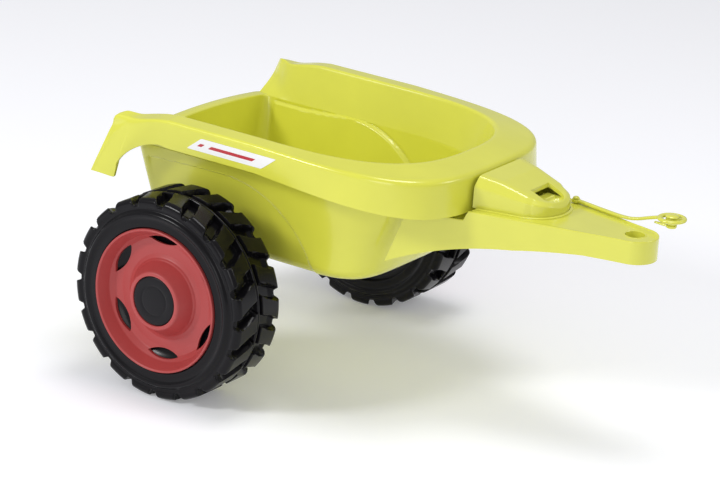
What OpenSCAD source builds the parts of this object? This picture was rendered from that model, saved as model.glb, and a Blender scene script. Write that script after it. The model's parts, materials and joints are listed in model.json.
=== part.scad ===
// Two-wheeled tub trailer for a child's ride-on pedal tractor.
// X runs forward to the hitch, Y to the left, Z up. The ground is z = 0 and the
// origin is the middle of the whole trailer's box, on the ground.

/* [Wheels] */
// Width over the two tyres
track_w = 446; // [430:1:460]
// Radius of a tyre over its lugs
wheel_r = 107; // [104:1:110]
// Width of a tyre
tyre_w = 76; // [70:1:78]
// Radius of the red rim
rim_r = 76; // [72:1:78]
// Radius of the hub cap
cap_r = 26; // [24:1:28]
// Lugs on each half of a tyre
lug_count = 20; // [16:1:22]
// Radius of the steel axle
axle_r = 4; // [3.5:0.25:5]

/* [Tub] */
// Height of the top of the tub's rim
rim_z = 270; // [264:1:276]
// Height of the wheel-arch ledge inside the tub
ledge_z = 224; // [220:1:228]
// Height of the tub's underside
belly_z = 128; // [124:1:134]
// Half width of the rim's outer edge
rim_half = 146; // [140:1:147]
// Distance from the axle forward to the rim's front edge
rim_front = 260; // [250:1:262]
// Distance from the axle back to the tub's rear wall
rear_reach = 118; // [110:1:120]
// Wall thickness of the moulding
wall = 3; // [2.5:0.25:4]

/* [Drawbar] */
// Distance from the axle forward to the hitch hole
hitch_x = 424; // [410:1:440]
// Radius of the hitch hole
hitch_r = 10; // [8:0.5:12]
// Radius of the drawbar's round tip
tip_r = 24; // [22:1:26]
// Height of the drawbar's top deck
deck_z = 229; // [226:1:232]
// Thickness of the drawbar at the hitch hole
tip_t = 24; // [20:1:28]

/* [Hidden] */
$fn = 64;

// Colours
lime = [0.80, 0.83, 0.25];
black = [0.06, 0.06, 0.07];
red = [0.68, 0.20, 0.20];
steel = [0.72, 0.73, 0.75];
white = [0.96, 0.96, 0.95];

// Clearances: a running fit, and a plain gap between neighbours
run_gap = 0.05;
gap = 0.4;

// Reaches behind and ahead of the axle, which set the origin between them
tail_reach = 146;
eye_x = 443;
eye_r = 15;
axle_x = (tail_reach - eye_x - eye_r) / 2;
axle_z = wheel_r;
wheel_y = (track_w - tyre_w) / 2;
half_w = tyre_w / 2;

module from_axle() { translate([axle_x, 0, 0]) children(); }

// ---------------------------------------------------------------- outlines
mid_x = 60;
function lerp(a, b, t) = a + (b - a) * t;
function clamp01(v) = min(1, max(0, v));
function signed_pow(v, p) = sign(v) * pow(abs(v), p);

// Half width at x on a straight side, which tapers gently towards the rear
side_taper = 0.01;
function side_half(half, x, taper = side_taper) =
    half * (1 - taper * pow(max(0, mid_x - x) / (mid_x + rear_reach), 2));

// The round front of a plan outline: a superellipse from -Y round to +Y
function nose(reach, half, n, count) = [
    for (i = [0:count]) let (a = -90 + 180 * i / count)
        [mid_x + (reach - mid_x) * pow(max(0, cos(a)), 2 / n), half * signed_pow(sin(a), 2 / n)]
];

// One side of a plan outline from x = from to the start of the nose
function side(half, from, count, taper = 0) = [
    for (i = [0:count - 1]) let (x = lerp(from, mid_x, i / count)) [x, side_half(half, x, taper)]
];
function reverse(list) = [for (i = [len(list) - 1:-1:0]) list[i]];
function flip_y(list) = [for (p = list) [p[0], -p[1]]];

// ---------------------------------------------------------------- lofting
// A strip of faces between two rows of a loft, closed round the row
function loft_faces(rows, cols, closed_cols = true) = [
    for (r = [0:rows - 2], c = [0:(closed_cols ? cols - 1 : cols - 2)])
        let (d = (c + 1) % cols) each [
            [r * cols + c, (r + 1) * cols + c, (r + 1) * cols + d],
            [r * cols + c, (r + 1) * cols + d, r * cols + d]
        ]
];
// The two end faces fan out from column first, which no neighbours are in line with
module loft_closed(rows, first) {
    n = len(rows[0]);
    m = len(rows);
    polyhedron(
        points = [for (row = rows) each row],
        faces = concat(
            loft_faces(m, n),
            [[for (c = [0:n - 1]) (c + first) % n]],
            [[for (c = [n - 1:-1:0]) (m - 1) * n + (c + first + 1) % n]]
        )
    );
}

// ---------------------------------------------------------------- tub
side_count = 16;
nose_count = 28;
corner_count = 5;
rear_count = 8;
rear_corner = 9;
belly_round = 14;
rear_lip_z = 228;
rear_lip_crown = 7;

// Where the tub's outer wall is at height z
function tub_front(z) = 168 + (z - 137) * 0.38;
function tub_half(z) = 101 + (z - 137) * 0.16;
function tub_rear(z) = rear_reach - (ledge_z - z) * 0.11;
function tub_square(z) = lerp(4.6, 3, clamp01((z - 137) / (ledge_z - 137)));

// The wall steps in below the wheel arch, a circle about the axle that runs level
// to the rear. The inside face follows a slightly larger arch.
arch_r = 113;
arch_flat = 109;
arch_step = 4;
arch_fade = 5;
arch_inner_gain = 7;
function arch_inset(x, z, grow) =
    let (d = x > 0 ? norm([x, z - axle_z]) : z - axle_z + arch_r - arch_flat)
        arch_step * clamp01((arch_r + grow - d) / arch_fade + 0.5);

function tub_row(z, off, inset = 0, crown = 0) =
    let (
        half = tub_half(z) + off - inset,
        reach = tub_front(z) + off - inset,
        rear = -(tub_rear(z) + off - inset),
        rc = max(4, rear_corner + off - inset),
        right = side(half, rear + rc, side_count),
        rear_half = right[0][1],
        left_corner = [for (i = [1:corner_count]) let (a = 90 * i / corner_count)
            [rear + rc - rc * sin(a), rear_half - rc + rc * cos(a)]],
        wall_pts = [for (i = [1:rear_count - 1])
            [rear, lerp(rear_half - rc, -(rear_half - rc), i / rear_count)]],
        flat = concat(
            flip_y(right), nose(reach, half, tub_square(z), nose_count), reverse(right),
            left_corner, wall_pts, reverse(flip_y(left_corner))
        )
    )
    [for (p = flat) [
        p[0],
        abs(p[1]) > 0.8 * half ? p[1] - sign(p[1]) * arch_inset(p[0], z, off < 0 ? arch_inner_gain : 0) : p[1],
        z + (p[0] < rear + rc * 0.8 ? crown * (rear_lip_z - z + rear_lip_crown * (1 - pow(p[1] / half, 2))) : 0)
    ]];

function belly_fillet(r, off, z0) = [
    for (i = [0:3]) let (a = 90 * i / 3) tub_row(z0 + r * (1 - cos(a)), off, r * (1 - sin(a)))
];
levels = [152, 164, 176, 188, 198, 206, 212, 216, 220];
module basin() {
    loft_closed(concat(
        belly_fillet(belly_round, 0, belly_z),
        [for (z = levels) tub_row(z, 0)],
        [tub_row(ledge_z, 0, 0, 1), tub_row(ledge_z, -wall, 0, 1)],
        [for (z = reverse(levels)) tub_row(z, -wall)],
        reverse(belly_fillet(belly_round - wall, -wall, belly_z + wall))
    ), side_count + nose_count / 2);
}

// The rolled rim: rows are [front reach, half width, exponent, z at the sides, z at the front],
// from the foot of its inside face over the top and back up inside
rim_root = 0.6;
rim_rows = [
    [tub_front(ledge_z) - wall + rim_root, tub_half(ledge_z) - wall + rim_root, 3, ledge_z - 1.6, ledge_z - 1.6],
    [rim_front - 38, rim_half - 23, 2.8, rim_z - 5, rim_z - 5],
    [rim_front - 34, rim_half - 20, 2.8, rim_z + 0.5, rim_z - 1],
    [rim_front - 6, rim_half - 3, 3.4, rim_z - 0.8, rim_z - 7],
    [rim_front, rim_half, 3.5, rim_z - 4.5, rim_z - 12],
    [rim_front + 1, rim_half - 2, 3.8, rim_z - 31, rim_z - 46],
    [rim_front + 1 - wall, rim_half - 2 - wall, 3.8, rim_z - 31, rim_z - 46],
    [rim_front - wall, rim_half - wall, 3.5, rim_z - 6, rim_z - 13],
    [rim_front - 7, rim_half - 5, 3.4, rim_z - 3.8, rim_z - 10],
    [rim_front - 34, rim_half - 17, 2.8, rim_z - wall, rim_z - wall - 1],
    [tub_front(ledge_z) - rim_root, tub_half(ledge_z) - rim_root, 3, ledge_z - 1.6, ledge_z - 1.6]
];
function rim_row(r) =
    let (
        s = side(r[1], -rear_reach, side_count, r[1] > rim_half - 10 ? side_taper : 0),
        flat = concat(flip_y(s), nose(r[0], r[1], r[2], nose_count), reverse(s))
    )
    [for (p = flat) [p[0], p[1], lerp(r[3], r[4], clamp01((p[0] - mid_x) / (rim_front - mid_x)))]];
// Rows that each triangle of the rim's two rear end faces joins
rim_end = [
    [0, 9, 10], [0, 1, 9], [1, 8, 9], [1, 7, 8], [1, 2, 7], [2, 6, 7], [2, 3, 6], [3, 5, 6], [3, 4, 5]
];
module rim_shell() {
    rows = [for (r = reverse(rim_rows)) rim_row(r)];
    n = len(rows[0]);
    m = len(rows);
    polyhedron(
        points = [for (row = rows) each row],
        faces = concat(
            loft_faces(m, n, false),
            [for (c = [0:n - 2]) each [
                [(m - 1) * n + c, c, c + 1],
                [(m - 1) * n + c, c + 1, (m - 1) * n + c + 1]
            ]],
            [for (t = rim_end) [t[0] * n, t[1] * n, t[2] * n]],
            [for (t = rim_end) [t[2] * n + n - 1, t[1] * n + n - 1, t[0] * n + n - 1]]
        )
    );
}

// The mudguard tail that hangs behind each wheel, as a side outline
tail_profile = concat(
    [[-tail_reach, 196], [-115, 194]],
    [for (a = [165:-15:105]) [-52 + 66 * cos(a), 192 + 50 * sin(a)]],
    [[-52, 239], [-52, rim_z - 6], [-66, rim_z + 1], [-88, rim_z - 4], [-rear_reach, rim_z - 5]]
);
tail_band = 5;
tail_flange = [
    [-tail_reach, 196], [-tail_reach + tail_band, 195.8],
    [-rear_reach + tail_band, rim_z - 5], [-rear_reach, rim_z - 5]
];
tail_top_y = 143;
tail_in = 109;
tail_shelf_x = 133;
tail_flare = 5;
module upright(y0, y1) { translate([0, y1, 0]) rotate([90, 0, 0]) linear_extrude(y1 - y0) children(); }
module tail() {
    // outer plate, leaning out by 6 mm from top to tip
    translate([0, tail_top_y, rim_z - 5]) rotate([tail_flare, 0, 0]) translate([0, 0, 5 - rim_z])
        upright(-wall, 0.6) polygon(tail_profile);
    // rear flange, and the shelf that joins it to the end of the ledge
    upright(tail_in, tail_top_y - 2) intersection() {
        polygon(tail_flange);
        translate([-tail_reach, ledge_z - wall]) square([60, 60]);
    }
    upright(126, tail_top_y + 1) polygon(tail_flange);
    translate([-tail_shelf_x, tail_in, ledge_z - wall - 0.5])
        cube([tail_shelf_x - rear_reach + 8, tail_top_y - tail_in, wall]);
}

// Bosses under the rim's front that take the drawbar's screws
boss_x = 240;
boss_y = 34;
boss_top = rim_z - 6;
screw_r = 2;
seat_z = 219;
// A screw boss with a slightly wider root
module boss(h) {
    cylinder(r = 5, h = h);
    translate([0, 0, h - 1.5]) cylinder(r = 6, h = 1.5);
}
module bosses() {
    for (s = [-1, 1]) translate([boss_x, s * boss_y, seat_z + gap])
        difference() {
            boss(boss_top - seat_z);
            translate([0, 0, -1]) cylinder(r = screw_r + run_gap, h = 22, $fn = 24);
        }
}

carrier_screw_x = 17;
carrier_screw_y = 62;
module carrier_screw_places() {
    for (sx = [-1, 1], sy = [-1, 1]) translate([sx * carrier_screw_x, sy * carrier_screw_y, 0]) children();
}

module tub() {
    color(lime) from_axle() difference() {
        union() {
            basin();
            rim_shell();
            tail();
            mirror([0, 1, 0]) tail();
            bosses();
            carrier_screw_places() translate([0, 0, belly_z + 11]) mirror([0, 0, 1]) boss(10);
        }
        carrier_screw_places() translate([0, 0, belly_z - 1])
            cylinder(r = screw_r + run_gap, h = 9, $fn = 24);
    }
}

// Plain slanted label on each side of the rim
decal_x = 32;
decal_z = 254;
decal_len = 95;
decal_h = 14.5;
decal_slant = 19;
decal_t = 0.4;
module decal(s) {
    color(white) from_axle()
        translate([decal_x - (decal_len + decal_slant) / 2, s * (rim_half + 0.3), decal_z - decal_h / 2])
            rotate([90, 0, 0]) translate([0, 0, s > 0 ? -decal_t : 0]) linear_extrude(decal_t)
                polygon([[0, 0], [decal_len, 0], [decal_len + decal_slant, decal_h], [decal_slant, decal_h]]);
}
module decal_left() { decal(1); }
module decal_right() { decal(-1); }

// ---------------------------------------------------------------- drawbar
deck_front = rim_front + 4;
flank_slope = 0.24;
function flank(x) = 28 + (hitch_x - 19 - x) * flank_slope;
drawbar_rear = 183;
drawbar_rear_top = 204;
tip_angle = 78;
function drawbar_plan(inset) =
    let (half = [[drawbar_rear, flank(drawbar_rear) - inset], [hitch_x - 19, flank(hitch_x - 19) - inset]],
         tip = [for (a = [tip_angle:-13:0]) [hitch_x + (tip_r - inset) * cos(a), (tip_r - inset) * sin(a)]],
         one = concat(half, tip))
    concat(one, reverse(flip_y(one)));
// Side outline: flat deck, a deeper root under the rim, and a curved underside
function underside(x) = let (t = clamp01((hitch_x - 40 - x) / 210)) deck_z - tip_t - 6 * clamp01(t * 3) - 44 * pow(t, 2.6);
function drawbar_side(top, rise) = concat(
    [[drawbar_rear_top, seat_z - rise], [deck_front, seat_z - rise], [deck_front, deck_z - top],
     [hitch_x + tip_r + 1, deck_z - top]],
    [for (i = [0:16]) let (x = lerp(hitch_x + tip_r + 1, drawbar_rear, i / 16)) [x, underside(x)]]
);
module drawbar() {
    color(lime) from_axle() difference() {
        intersection() {
            linear_extrude(deck_z + 1) polygon(drawbar_plan(0));
            upright(-100, 100) polygon(drawbar_side(0, 0));
        }
        // hollow from below, with a solid eye round the hitch hole
        difference() {
            intersection() {
                linear_extrude(deck_z + 1) polygon(drawbar_plan(wall));
                upright(-100, 100) polygon(concat(
                    [[drawbar_rear - 1, seat_z - wall], [deck_front + wall, seat_z - wall],
                     [deck_front + wall, deck_z - wall], [hitch_x + tip_r, deck_z - wall]],
                    [[hitch_x + tip_r, 100], [drawbar_rear - 1, 100]]
                ));
            }
            translate([hitch_x, 0, 0]) cylinder(r = hitch_r + wall, h = deck_z);
            for (x = [300, 350]) translate([x, -100, 0]) cube([wall, 200, deck_z]);
            translate([drawbar_rear, -wall / 2, 0]) cube([hitch_x - drawbar_rear, wall, deck_z]);
        }
        translate([hitch_x, 0, 0]) cylinder(r = hitch_r, h = deck_z + 1);
        for (s = [-1, 1]) translate([boss_x, s * boss_y, seat_z - 10])
            cylinder(r = screw_r + run_gap, h = 12);
        translate([strap_x, strap_y, deck_z - 10]) {
            cylinder(r = rivet_r + run_gap, h = 12);
            cylinder(r = rivet_r + 1.4, h = 10 - wall);
        }
    }
}

module screw(head_r, head_h, shank_h) {
    translate([0, 0, -head_h]) difference() {
        cylinder(r = head_r, h = head_h);
        translate([-head_r * 0.6, -0.6, -1]) cube([head_r * 1.2, 1.2, 1.8]);
        translate([-0.6, -head_r * 0.6, -1]) cube([1.2, head_r * 1.2, 1.8]);
    }
    cylinder(r = screw_r, h = shank_h);
}
module drawbar_screws() {
    color(steel) from_axle() for (s = [-1, 1])
        translate([boss_x, s * boss_y, seat_z - wall]) screw(4, 2.5, 22);
}

// Tapered cover that locks the drawbar to the tub, with a finger pocket in its nose
cover_rear = rim_front + 3.5;
cover_nose = 341;
cover_top_rear = 252;
cover_top_nose = 243;
cover_half_rear = 49;
cover_half_nose = 34;
cover_t = 2.5;
function cover_plan(inset) = let (one = concat(
        [[cover_rear, cover_half_rear - inset], [cover_nose - 22, cover_half_nose + 3 - inset]],
        [for (a = [75:-15:0]) [cover_nose - 26 + (26 - inset) * cos(a), (cover_half_nose - inset) * sin(a)]]
    )) concat(one, reverse(flip_y(one)));
function cover_side(inset) = [
    [cover_rear - (inset > 0 ? 1 : 0), deck_z - (inset > 0 ? 1 : -gap)],
    [cover_nose + 1, deck_z - (inset > 0 ? 1 : -gap)],
    [cover_nose + 1 - inset, deck_z + 6 - inset], [cover_nose - 8, cover_top_nose - inset],
    [cover_rear - (inset > 0 ? 1 : 0), cover_top_rear - inset]
];
module lock_cover() {
    pocket_x = cover_nose - 21;
    color(lime) from_axle() difference() {
        union() {
            difference() {
                intersection() {
                    linear_extrude(300) polygon(cover_plan(0));
                    upright(-80, 80) polygon(cover_side(0));
                }
                intersection() {
                    linear_extrude(300) polygon(cover_plan(cover_t));
                    upright(-80, 80) polygon(cover_side(cover_t));
                }
            }
            translate([pocket_x, -15, deck_z + gap]) cube([17, 30, 9]);
            translate([pocket_x - cover_t, -17, deck_z + gap]) cube([cover_t, 34, 13]);
        }
        translate([pocket_x, -12.5, deck_z + 5]) cube([13, 25, 40]);
    }
}

// Snap rivet, strap and toggle pin that lock the trailer to the tractor
strap_x = 330;
strap_y = 41.2;
rivet_r = 2;
strap_t = 3;
strap_w = 5;
strap_z = deck_z + 2.1;
eye_y = 38;
eye_z = 240;
eye_bore_r = 4;
module strap_rivet() {
    color(lime) from_axle() translate([strap_x, strap_y, deck_z - wall]) {
        translate([0, 0, -2]) cylinder(r = rivet_r + 1, h = 2 - 0.1);
        translate([0, 0, -1]) cylinder(r = rivet_r, h = wall + strap_t + 2.5);
        translate([0, 0, wall + strap_t + 1]) cylinder(r = 3.4, h = 1.5);
    }
}
// Centre line of the strap, as [x, y, height above its flat start]: along the
// deck's edge, then rising to the eye
strap_route = [
    [336, 41, 0], [352, 37.5, 0], [370, 34, 0], [388, 31, 0], [400, 30, 0.6],
    [410, 30.5, 2.6], [420, 33, 5.6], [430, 36, 8.4]
];
module strap_run() {
    n = len(strap_route);
    polyhedron(
        points = [for (i = [0:n - 1]) let (
                p = strap_route[i] + [0, 0, strap_z],
                q = strap_route[min(n - 1, i + 1)] - strap_route[max(0, i - 1)],
                side_dir = [-q[1], q[0], 0] / norm([q[0], q[1]]),
                top = strap_t / 2,
                w = strap_w / 2)
            each [
                p + side_dir * w + [0, 0, top], p - side_dir * w + [0, 0, top],
                p - side_dir * w - [0, 0, top], p + side_dir * w - [0, 0, top]
            ]],
        faces = concat(
            loft_faces(n, 4),
            [[0, 1, 2, 3]], [[for (c = [3:-1:0]) (n - 1) * 4 + c]]
        )
    );
}
module hitch_strap() {
    color(lime) from_axle() difference() {
        union() {
            strap_run();
            translate([strap_x, strap_y, strap_z - strap_t / 2]) cylinder(r = 4, h = strap_t);
            translate([strap_x, strap_y - strap_w / 2 - 0.1, strap_z - strap_t / 2]) cube([8, strap_w, strap_t]);
            translate([eye_x, eye_y, eye_z - 1.5]) cylinder(r = eye_r, h = 3);
        }
        translate([strap_x, strap_y, strap_z - 3]) cylinder(r = rivet_r + run_gap, h = 8);
        translate([eye_x, eye_y, eye_z - 5]) cylinder(r = eye_bore_r, h = 10);
    }
}
pin_reach = 17;
pin_drop = 9.5;
module hitch_pin() {
    color(lime) from_axle() translate([eye_x, eye_y, eye_z]) {
        translate([0, 0, 1.5 + gap]) cylinder(r = 7, h = 2);
        translate([0, 0, -pin_drop]) cylinder(r = eye_bore_r - run_gap, h = pin_drop + 3);
        translate([0, 0, -4.4]) cylinder(r = 8, h = 2.5);
        translate([0, 0, -pin_drop]) linear_extrude(3) {
            circle(r = 5.5);
            translate([-pin_reach, -2.5]) square([pin_reach, 5]);
            translate([-pin_reach, 0]) circle(r = 2.5);
        }
    }
}

// ---------------------------------------------------------------- axle
hub_face = wheel_y + half_w - 20;
axle_half = hub_face + 8;
bush_r = 9;
module across(y0, y1) { translate([0, y1, axle_z]) rotate([90, 0, 0]) linear_extrude(y1 - y0) children(); }
module ring_across(y0, y1, ro, ri) { across(y0, y1) difference() { circle(r = ro); circle(r = ri); } }
module both_sides() { children(); mirror([0, 1, 0]) children(); }

module axle() { color(steel) from_axle() across(-axle_half, axle_half) circle(r = axle_r); }

// Moulded cradle under the tub that carries the axle
carrier_y = 84;
carrier_ear = 12;
carrier_half_x = 24;
module axle_carrier() {
    plate_z = belly_z - gap;
    color(lime) from_axle() difference() {
        union() {
            translate([-carrier_half_x, -carrier_y, plate_z - wall]) cube([2 * carrier_half_x, 2 * carrier_y, wall]);
            for (y = [-carrier_y, -8, carrier_y - carrier_ear]) across(y, y + (y == -8 ? 16 : carrier_ear)) {
                circle(r = 12);
                polygon([
                    [-carrier_half_x, plate_z - axle_z - 1], [-11.5, -3], [11.5, -3],
                    [carrier_half_x, plate_z - axle_z - 1]
                ]);
            }
        }
        across(-carrier_y - 1, carrier_y + 1) circle(r = axle_r + run_gap);
        carrier_screw_places() translate([0, 0, plate_z - wall - 1])
            cylinder(r = screw_r + run_gap, h = wall + 2);
    }
}
module carrier_screws() {
    color(steel) from_axle() carrier_screw_places()
        translate([0, 0, belly_z - gap - wall]) screw(4, 2.5, 10);
}
wheel_in_y = wheel_y - tyre_w / 2;
module axle_spacers() {
    color(black) from_axle() both_sides()
        ring_across(carrier_y + gap, wheel_in_y + 5 - gap, 7, axle_r + run_gap);
}
// Push-on nuts that keep the wheels on the axle, under the hub caps
module axle_nuts() {
    color(steel) from_axle() both_sides() {
        ring_across(hub_face + gap, hub_face + gap + 1.5, 9, axle_r);
        ring_across(hub_face + gap + 1.5, hub_face + gap + 4, 6.5, axle_r);
    }
}

// ---------------------------------------------------------------- wheel
// Profiles are [radius, distance outward from the wheel's middle]
tread_r = wheel_r - 9;
shoulder_w = half_w - 6;
seam_r = wheel_r - 1.5;
module spun(profile) { rotate_extrude($fn = 96) polygon(profile); }

// One half of the tyre: a hollow shell with a raised bead ring on its sidewall
bead_r = tread_r - 8;
function tyre_outline(bead_in) = [
    [tread_r - 4, 0], [seam_r, 0], [seam_r, 1.2], [tread_r, 2.2], [tread_r, shoulder_w],
    [tread_r - 1, half_w - 4], [bead_r + 3, half_w - 2.4], [bead_r + 1.5, half_w - 0.8],
    [bead_r - 0.5, half_w], [bead_r - 3, half_w - 0.4], [bead_r - 7, half_w - 3.4],
    [bead_in, half_w - 5], [bead_in, half_w - 8.5], [bead_r - 7, half_w - 7],
    [bead_r, half_w - 3.5], [tread_r - 4, shoulder_w - 1]
];
lug_w = 17;
module lug(phase) {
    // blade from the shoulder to the seam, leaning over by half a pitch
    lean = 13;
    rotate([0, 0, phase]) translate([tread_r - 3.5, 0, 0]) rotate([90, 0, 90]) linear_extrude(wheel_r - tread_r + 4)
        polygon([
            [-lug_w / 2, half_w - 3], [lug_w / 2 - 3, half_w - 3], [lug_w / 2 + 1, shoulder_w - 6],
            [lug_w / 2 - 6 + lean, 2.6], [-lug_w / 2 + 2 + lean, 2.6], [-lug_w / 2, shoulder_w - 8]
        ]);
}
module lugs(phase) {
    intersection() {
        union() for (i = [0:lug_count - 1]) lug(phase + i * 360 / lug_count);
        spun([[tread_r - 3.5, 2.5], [wheel_r, 2.5], [wheel_r, half_w - 5], [wheel_r - 2.5, half_w - 2.6],
              [tread_r - 3.5, half_w - 2.5]]);
    }
}
seat_r = rim_r + 0.6;
dish_depth = 19;
module tyre_outer() {
    spun(tyre_outline(seat_r));
    // dished seat behind the rim, and the hub tube
    spun([
        [seat_r + 0.5, half_w - 8], [seat_r + 0.5, half_w - 5.2], [seat_r - 1, half_w - 5.2],
        [69.5, half_w - 16], [62, half_w - dish_depth - 4], [14, half_w - dish_depth - 4],
        [14, half_w - dish_depth - 7], [63, half_w - dish_depth - 7], [72.5, half_w - 16]
    ]);
    spun([[bush_r, 0.4], [14.05, 0.4], [14.05, half_w - 20], [bush_r, half_w - 20]]);
    lugs(0);
}
module tyre_inner() {
    spun(tyre_outline(seat_r));
    spun([[14, half_w - 9], [seat_r + 0.2, half_w - 8.5], [seat_r + 0.2, half_w - 5.5], [14, half_w - 5.5]]);
    spun([[bush_r, 0.4], [14.05, 0.4], [14.05, half_w - 5.5], [bush_r, half_w - 5.5]]);
    lugs(180 / lug_count);
}

// Deep dished rim: lens-shaped slots in its valley and a conical boss round the cap
slot_count = 6;
slot_phase = 32;
slot_r = 61;
slot_half = 16;
slot_bow = 4.5;
boss_r = 30;
module rim() {
    lens_r = (slot_half * slot_half + slot_bow * slot_bow) / (2 * slot_bow);
    valley_w = half_w - dish_depth;
    difference() {
        spun([
            [rim_r, half_w - 3], [rim_r, half_w + 0.6], [rim_r - 1, half_w + 1.2], [rim_r - 2.5, half_w + 0.4],
            [67.5, half_w - 12], [62, valley_w + 1.5], [56, valley_w], [46, valley_w + 0.6],
            [41, valley_w + 3], [boss_r + 2.5, half_w - 4], [boss_r + 1, half_w - 1.5], [boss_r, half_w + 0.6],
            [boss_r - 2, half_w + 1], [cap_r + 0.3, half_w + 0.4], [cap_r + 0.3, half_w - 4],
            [boss_r, half_w - 4.5], [39, valley_w + 1], [45.5, valley_w - 1.6], [56.5, valley_w - 2.2],
            [63.5, valley_w - 0.8], [69.5, half_w - 13], [rim_r - 2, half_w - 3]
        ]);
        for (i = [0:slot_count - 1]) rotate([0, 0, slot_phase + i * 360 / slot_count])
            translate([slot_r, 0, 0]) linear_extrude(half_w + 5) intersection() {
                translate([lens_r - slot_bow, 0]) circle(r = lens_r);
                translate([slot_bow - lens_r, 0]) circle(r = lens_r);
            }
    }
}
module hub_cap() {
    spun([
        [0, half_w + 0.6], [cap_r * 0.6, half_w + 0.6], [cap_r * 0.66, half_w], [cap_r - 3, half_w],
        [cap_r - 1, half_w - 0.2], [cap_r, half_w - 1.2], [cap_r, half_w - 5], [cap_r - 2, half_w - 5],
        [cap_r - 2, half_w - 2.2], [0, half_w - 2]
    ]);
}
// Plain bushes pressed into the two hub tubes, which run on the axle
module bush(w0, w1) {
    translate([0, 0, w0]) difference() {
        cylinder(r = bush_r, h = w1 - w0);
        translate([0, 0, -1]) cylinder(r = axle_r + run_gap, h = w1 - w0 + 2);
    }
}
module wheel_place(s, tint) {
    color(tint) from_axle() translate([0, s * wheel_y, axle_z]) rotate([-s * 90, 0, 0]) children();
}
module inner_place() { mirror([0, 0, 1]) children(); }

module tyre_outer_left() { wheel_place(1, black) tyre_outer(); }
module tyre_inner_left() { wheel_place(1, black) inner_place() tyre_inner(); }
module rim_left() { wheel_place(1, red) rim(); }
module hub_cap_left() { wheel_place(1, black) hub_cap(); }
module bearing_bush_left() { wheel_place(1, white) inner_place() bush(0.4, half_w - 5.2); }
module rim_bush_left() { wheel_place(1, white) bush(0.4, half_w - 20); }
module tyre_outer_right() { wheel_place(-1, black) tyre_outer(); }
module tyre_inner_right() { wheel_place(-1, black) inner_place() tyre_inner(); }
module rim_right() { wheel_place(-1, red) rim(); }
module hub_cap_right() { wheel_place(-1, black) hub_cap(); }
module bearing_bush_right() { wheel_place(-1, white) inner_place() bush(0.4, half_w - 5.2); }
module rim_bush_right() { wheel_place(-1, white) bush(0.4, half_w - 20); }

tub();
decal_left();
decal_right();
drawbar();
drawbar_screws();
lock_cover();
strap_rivet();
hitch_strap();
hitch_pin();
axle();
axle_carrier();
carrier_screws();
axle_spacers();
axle_nuts();
tyre_outer_left();
tyre_inner_left();
rim_left();
hub_cap_left();
bearing_bush_left();
rim_bush_left();
tyre_outer_right();
tyre_inner_right();
rim_right();
hub_cap_right();
bearing_bush_right();
rim_bush_right();
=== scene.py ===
"""Looks of a ride-on tractor's tub trailer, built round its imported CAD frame.

Shapes are worked out in millimetres from the middle of the axle, at ground level:
x forward to the hitch, y to the left, z up. to_frame() turns them into the shared frame.
"""

import json
import math

import bmesh
import bpy
import numpy as np
from mathutils import Matrix, Vector


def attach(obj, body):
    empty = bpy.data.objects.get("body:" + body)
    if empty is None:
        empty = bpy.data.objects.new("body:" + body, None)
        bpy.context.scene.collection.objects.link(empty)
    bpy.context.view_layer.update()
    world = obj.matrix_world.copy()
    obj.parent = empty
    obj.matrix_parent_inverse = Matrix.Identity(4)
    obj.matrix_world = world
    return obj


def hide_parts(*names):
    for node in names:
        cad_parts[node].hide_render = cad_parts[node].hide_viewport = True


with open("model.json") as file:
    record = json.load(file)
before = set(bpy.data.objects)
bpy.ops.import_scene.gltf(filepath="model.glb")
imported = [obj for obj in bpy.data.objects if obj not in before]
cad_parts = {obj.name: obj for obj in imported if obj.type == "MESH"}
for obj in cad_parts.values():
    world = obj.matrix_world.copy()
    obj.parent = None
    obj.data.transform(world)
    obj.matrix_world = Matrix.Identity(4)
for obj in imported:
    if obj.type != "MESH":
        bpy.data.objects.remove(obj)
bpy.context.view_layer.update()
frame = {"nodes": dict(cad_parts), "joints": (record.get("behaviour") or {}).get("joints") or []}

MM = 0.001
SIDES = ((1, "left"), (-1, "right"))
AXLE = Vector(next(j["pos_m"] for j in frame["joints"] if j["name"] == "wheel_left_spin"))
AXLE_Z = AXLE.z / MM
COARSE = 1.0


# ------------------------------------------------------------------ helpers
def lerp(a, b, t):
    return a + (b - a) * t


def clamp01(v):
    return np.clip(v, 0.0, 1.0)


def smooth(t):
    t = clamp01(t)
    return t * t * (3 - 2 * t)


def steps(count):
    return max(4, int(round(count / COARSE)))


def to_frame(points):
    """Millimetres from the axle's foot to metres in the shared frame."""
    points = np.asarray(points, float).reshape(-1, 3) * MM
    points[:, 0] += AXLE.x
    return points


def grid_faces(rows, cols, closed_rows, closed_cols):
    faces = []
    for r in range(rows if closed_rows else rows - 1):
        for c in range(cols if closed_cols else cols - 1):
            r2, c2 = (r + 1) % rows, (c + 1) % cols
            faces.append((r * cols + c, r2 * cols + c, r2 * cols + c2, r * cols + c2))
    return faces


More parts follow.
